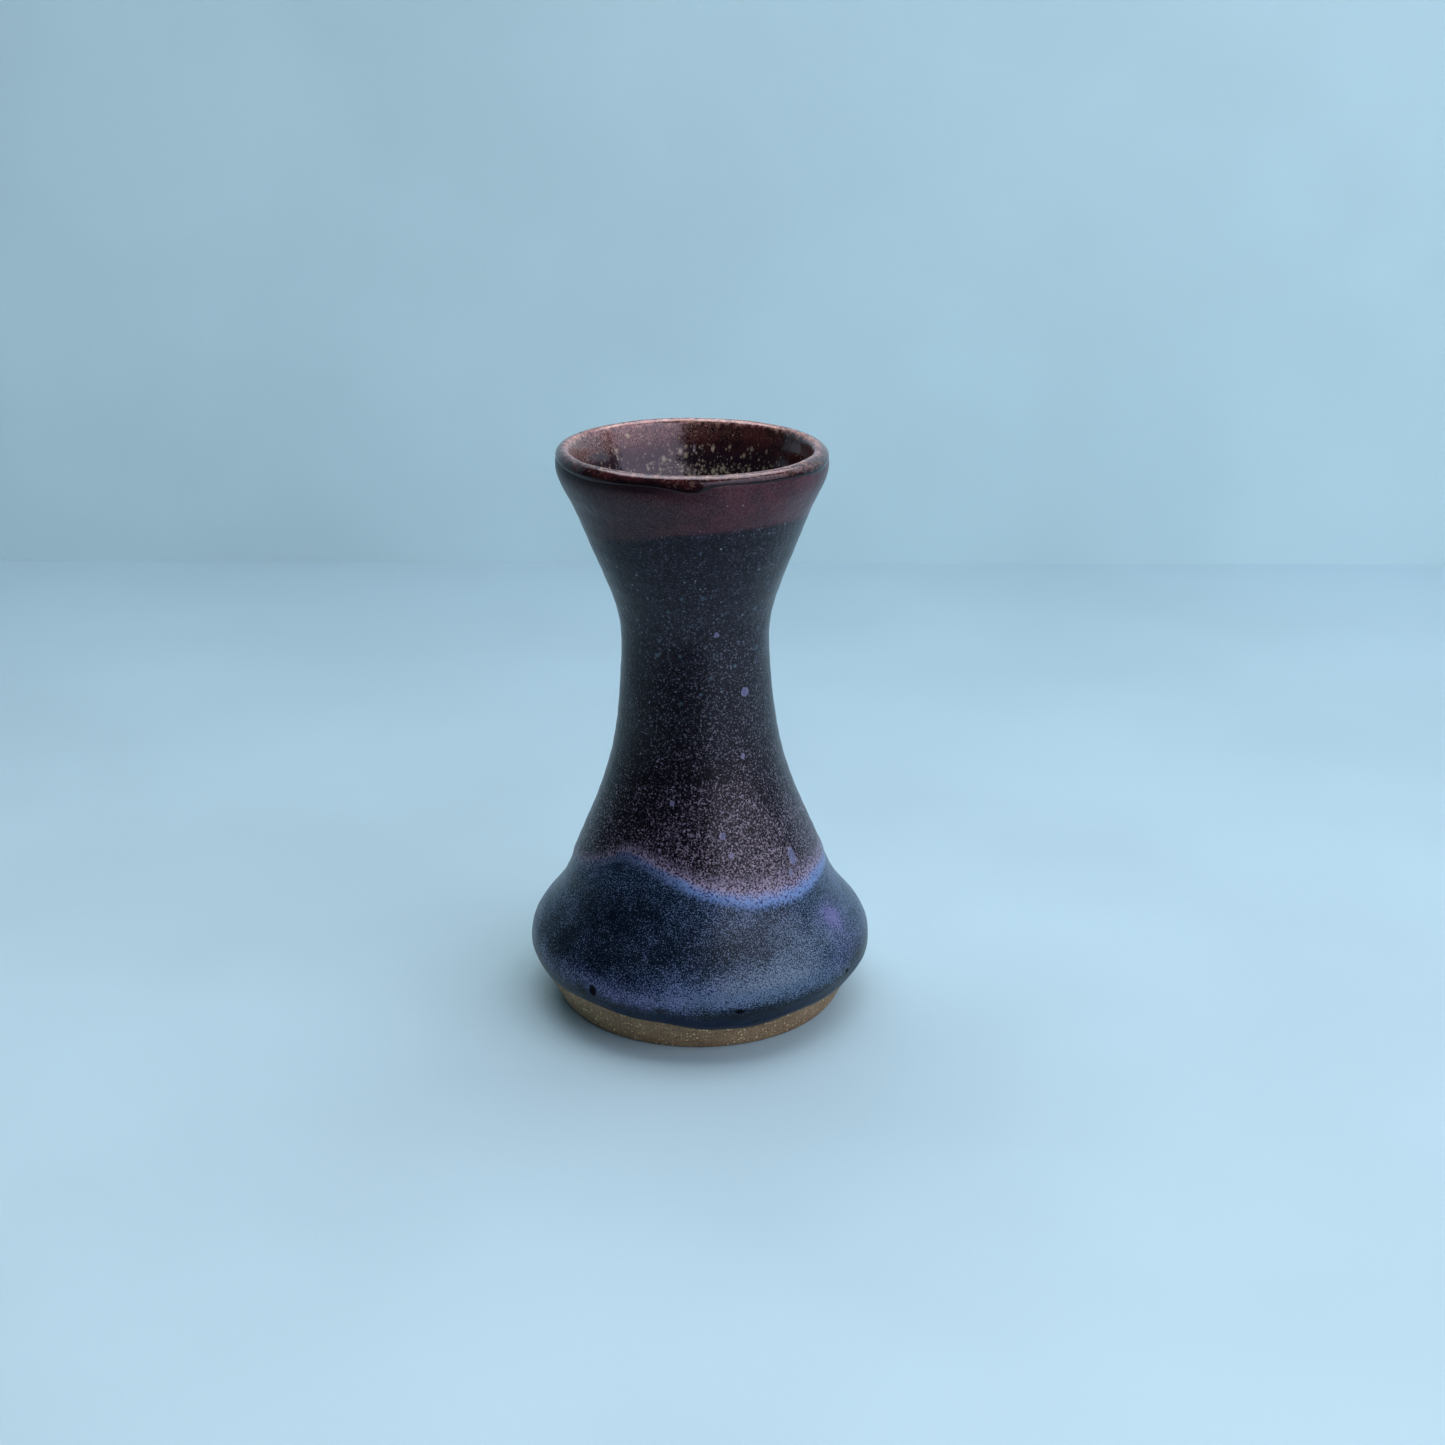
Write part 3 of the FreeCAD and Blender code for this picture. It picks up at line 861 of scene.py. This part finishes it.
def with_crest(n, colour, past, blots, thick):
    """The colour with the crest pale where the glaze breaks thin and brightened as a painted
    highlight, brown flecks outside, and painted shade along the lower edge under the lip's roll.
    """
    leftward = n.field("leftward")
    # the crest is pale where the glaze breaks thin, and its palest colour is partly a painted
    # highlight
    crest = n.plus(n.math("ABSOLUTE", n.minus(past, 0.4)), n.times(thick, 3.6))
    pale = n.mix(n.step(blots, 0.42, 0.6), CREST_PALE_AND_HIGHLIGHT, CREST_PINK)
    pale = n.mix(n.step(n.noise(0.35, detail=2.0), 0.42, 0.6, 0.0, 0.7), pale, CREST_BROWN)
    colour = n.mix(n.step(crest, 3.3, 1.5, 0.0, 0.85), colour, pale)
    outer_face = n.times(n.step(past, 0.6, -0.6), n.step(leftward, 0.6, -0.7, 0.3, 0.8))
    flecks = n.grains(0.5, n.step(leftward, 0.5, -0.8, 0.2, 0.42))
    colour = n.mix(n.times(flecks, outer_face), colour, BROWN_FLECK)
    # painted shade along the lower edge of the lip glaze, under its roll
    shade_under_roll = n.step(n.plus(n.field("above_lip"), n.times(thick, 1.4)), 2.2, 1.0)
    return n.mix(shade_under_roll, colour, LIP_UNDERSIDE_SHADE)


def gloss_glaze(name):
    """The glossy glaze of the lip and the inside: oxblood, breaking to cream where it is thin,
    with a painted highlight on the crest and painted shade under the lip's roll.
    """
    n = Nodes(name)
    past = n.field("past_crest")
    blots = n.noise(4.0, detail=2.0)
    thick = n.noise(1.1, detail=2.0)
    colour = n.mix(n.step(blots, 0.4, 0.62), OXBLOOD_DARK, OXBLOOD)
    colour = n.mix(n.step(past, 2.5, 9.0), colour, DEEP_INSIDE)
    colour = with_hairs(n, colour, past)
    colour = with_crystals(n, colour, blots)
    colour = with_crest(n, colour, past, blots, thick)
    sheen = n.step(past, -1.2, 0.4, 0.2, 0.34)
    sheen = n.plus(sheen, n.step(n.math("ABSOLUTE", past), 2.2, 0.8, 0.0, 0.36))
    normal = n.bump(n.noise(1.2, detail=1.0), 0.03)
    normal = n.bump(n.noise(0.4, detail=1.0), 0.016, below=normal)
    return n.finish(colour, 0.17, normal, sheen_level=sheen, tint=OXBLOOD_SHINE, index=1.7)


# ---------------------------------------------------------------------------------------------
# The bare clay and the stage
# ---------------------------------------------------------------------------------------------
CLAY_BROWN = srgb(138, 110, 82)
CLAY_TAN = srgb(160, 131, 98)
CLAY_GRAIN = srgb(112, 88, 62)
CREAM_SAND = srgb(236, 208, 158)
DARK_SAND = srgb(66, 52, 40)


def bare_clay(name):
    """Fired stoneware: tan, with cream and dark sand in it."""
    n = Nodes(name)
    clay = n.mix(n.step(n.noise(5.0, detail=3.0), 0.35, 0.65), CLAY_BROWN, CLAY_TAN)
    clay = n.mix(n.grains(0.35, 0.35), clay, CLAY_GRAIN)
    clay = n.mix(n.dots(0.62, 0.22, 0.52), clay, CREAM_SAND)
    clay = n.mix(n.dots(0.9, 0.2, 0.25), clay, DARK_SAND)
    normal = n.bump(n.noise(0.3, detail=3.0, roughness=0.6), 0.08)
    return n.finish(clay, 0.85, normal)


def plain_stage(name, colour, roughness):
    """Smooth pale board with the faintest cloudiness."""
    n = Nodes(name)
    cloud = n.noise(90.0, detail=2.0)
    shade = n.mix(n.step(cloud, 0.3, 0.7), colour, [c * 0.94 for c in colour[:3]] + [1.0])
    normal = n.bump(n.noise(1.5, detail=2.0), 0.02)
    return n.finish(shade, roughness, normal)


# ---------------------------------------------------------------------------------------------
# The vase: each piece with its material and the record's slot. A coat of glaze lies between two
# lines, and its last number is the spacing of its rows in millimetres.
# ---------------------------------------------------------------------------------------------
pieces = [
    (clay_piece(), bare_clay("bare_clay"), "clay"),
    (coat_piece("skirt_glaze", foot_place, run_place, 0.33), outer_glaze("blue_glaze"),
     "blue_glaze"),
    (coat_piece("overlap_glaze", run_place, band_place, 0.2), outer_glaze("overlap_glaze"),
     "overlap_glaze"),
    (coat_piece("neck_glaze", band_place, collar_place, 0.45), outer_glaze("plum_glaze"),
     "plum_glaze"),
    (coat_piece("collar_glaze", collar_place, lip_place, 0.3), outer_glaze("red_plum_glaze"),
     "red_plum_glaze"),
    (coat_piece("lip_glaze", lip_place, inner_lip_place, 0.12), gloss_glaze("lip_glaze"),
     "lip_glaze"),
    (liner_piece(), gloss_glaze("liner_glaze"), "liner_glaze"),
]
for piece, material, slot in pieces:
    piece.data.materials.append(material)

# ---------------------------------------------------------------------------------------------
# Stage, light and camera
# ---------------------------------------------------------------------------------------------
FLOOR_COLOUR = srgb(185, 212, 224)
WALL_COLOUR = srgb(220, 248, 252)
WALL_DISTANCE = 0.32
WALL_HEIGHT = 0.5
REACH = 1.4             # how far the floor and the wall go to the sides and to the front
BOARD_ROUGHNESS = 0.6


def board(name, corners, colour):
    """A flat board with four corners, which belongs to the stage."""
    mesh = bpy.data.meshes.new(name)
    mesh.from_pydata(corners, [], [(0, 1, 2, 3)])
    item = bpy.data.objects.new(name, mesh)
    bpy.context.scene.collection.objects.link(item)
    item.data.materials.append(plain_stage(name + "_paint", colour, BOARD_ROUGHNESS))
    return item


board("floor", [(-REACH, -REACH, 0), (REACH, -REACH, 0), (REACH, WALL_DISTANCE, 0),
                (-REACH, WALL_DISTANCE, 0)], FLOOR_COLOUR)
board("wall", [(-REACH, WALL_DISTANCE, 0), (REACH, WALL_DISTANCE, 0),
               (REACH, WALL_DISTANCE, WALL_HEIGHT), (-REACH, WALL_DISTANCE, WALL_HEIGHT)],
      WALL_COLOUR)


VASE_MIDDLE = Vector((0.0, 0.0, 0.06))


def soft_light(name, azimuth, elevation, distance, width, height, radiance, colour):
    """A soft box that faces the vase, as bright as radiance whatever its size."""
    data = bpy.data.lights.new(name, "AREA")
    data.shape = "RECTANGLE"
    data.size = width
    data.size_y = height
    data.energy = radiance * math.pi * width * height
    data.color = colour
    light = bpy.data.objects.new(name, data)
    bpy.context.scene.collection.objects.link(light)
    a, e = math.radians(azimuth), math.radians(elevation)
    away = Vector((math.sin(a) * math.cos(e), -math.cos(a) * math.cos(e), math.sin(e)))
    light.location = VASE_MIDDLE + away * distance
    light.rotation_euler = away.to_track_quat("Z", "Y").to_euler()


soft_light("window", azimuth=52.0, elevation=30.0, distance=1.1, width=1.5, height=1.0,
           radiance=2.0, colour=(0.84, 0.86, 1.0))
soft_light("side", azimuth=125.0, elevation=24.0, distance=1.2, width=0.9, height=0.8,
           radiance=1.4, colour=(0.86, 0.90, 1.0))
soft_light("overhead", azimuth=172.0, elevation=66.0, distance=1.2, width=1.5, height=1.4,
           radiance=3.3, colour=(0.95, 0.98, 1.0))


def far_only(material, distance):
    """Lets rays that come from nearer than a distance pass through the material."""
    tree = material.node_tree
    paint = tree.nodes["Principled BSDF"]
    output = tree.nodes["Material Output"]
    path = tree.nodes.new("ShaderNodeLightPath")
    far = tree.nodes.new("ShaderNodeMath")
    far.operation = "GREATER_THAN"
    far.inputs[1].default_value = distance
    clear = tree.nodes.new("ShaderNodeBsdfTransparent")
    choice = tree.nodes.new("ShaderNodeMixShader")
    tree.links.new(path.outputs["Ray Length"], far.inputs[0])
    tree.links.new(far.outputs[0], choice.inputs[0])
    tree.links.new(clear.outputs[0], choice.inputs[1])
    tree.links.new(paint.outputs[0], choice.inputs[2])
    tree.links.new(choice.outputs[0], output.inputs[0])


# A black card lies on the floor in front, outside the picture. Only the shine of the glazes sees
# it: it keeps the floor from shining on the left of the neck.
FLAG_COLOUR = srgb(12, 12, 14)
FLAG_HEIGHT = 0.001
FLAG_NEAREST = 0.1      # shine on the floor itself is nearer to the card than this
flag = board("flag", [(-0.9, -0.16, FLAG_HEIGHT), (0.036, -0.16, FLAG_HEIGHT),
                      (0.22, -1.0, FLAG_HEIGHT), (-0.9, -1.0, FLAG_HEIGHT)], FLAG_COLOUR)
flag.visible_camera = False
flag.visible_shadow = False
flag.visible_diffuse = False
far_only(flag.data.materials[0], FLAG_NEAREST)

# The room is dim for the vase and pale for the camera
ROOM_LIGHT = (0.037, 0.048, 0.057, 1.0)
ROOM_COLOUR = srgb(160, 195, 214)
world = bpy.data.worlds.new("room")
world.use_nodes = True
room = world.node_tree
shade = room.nodes["Background"]
seen = room.nodes.new("ShaderNodeLightPath")
choice = room.nodes.new("ShaderNodeMix")
choice.data_type = "RGBA"
choice.inputs[6].default_value = ROOM_LIGHT
choice.inputs[7].default_value = ROOM_COLOUR
room.links.new(seen.outputs["Is Camera Ray"], choice.inputs["Factor"])
room.links.new(choice.outputs[2], shade.inputs["Color"])
bpy.context.scene.world = world
bpy.context.scene.view_settings.view_transform = "Standard"

CAMERA_ELEVATION = 20.33        # degrees by which the camera looks down
CAMERA_ROLL = 0.137
CAMERA_PLACE = Vector((0.004365, -0.397445, 0.205524))
CAMERA_LENS = 52.32             # millimetres, for the sensor's width
SENSOR_WIDTH = 36.0

camera_data = bpy.data.cameras.new("camera")
camera_data.lens = CAMERA_LENS
camera_data.sensor_width = SENSOR_WIDTH
camera_data.clip_start = 0.01
camera = bpy.data.objects.new("camera", camera_data)
bpy.context.scene.collection.objects.link(camera)
tilt = Matrix.Rotation(math.radians(90.0 - CAMERA_ELEVATION), 4, "X")
roll = Matrix.Rotation(math.radians(CAMERA_ROLL), 4, "Z")
camera.matrix_world = Matrix.Translation(CAMERA_PLACE) @ tilt @ roll
bpy.context.scene.camera = camera
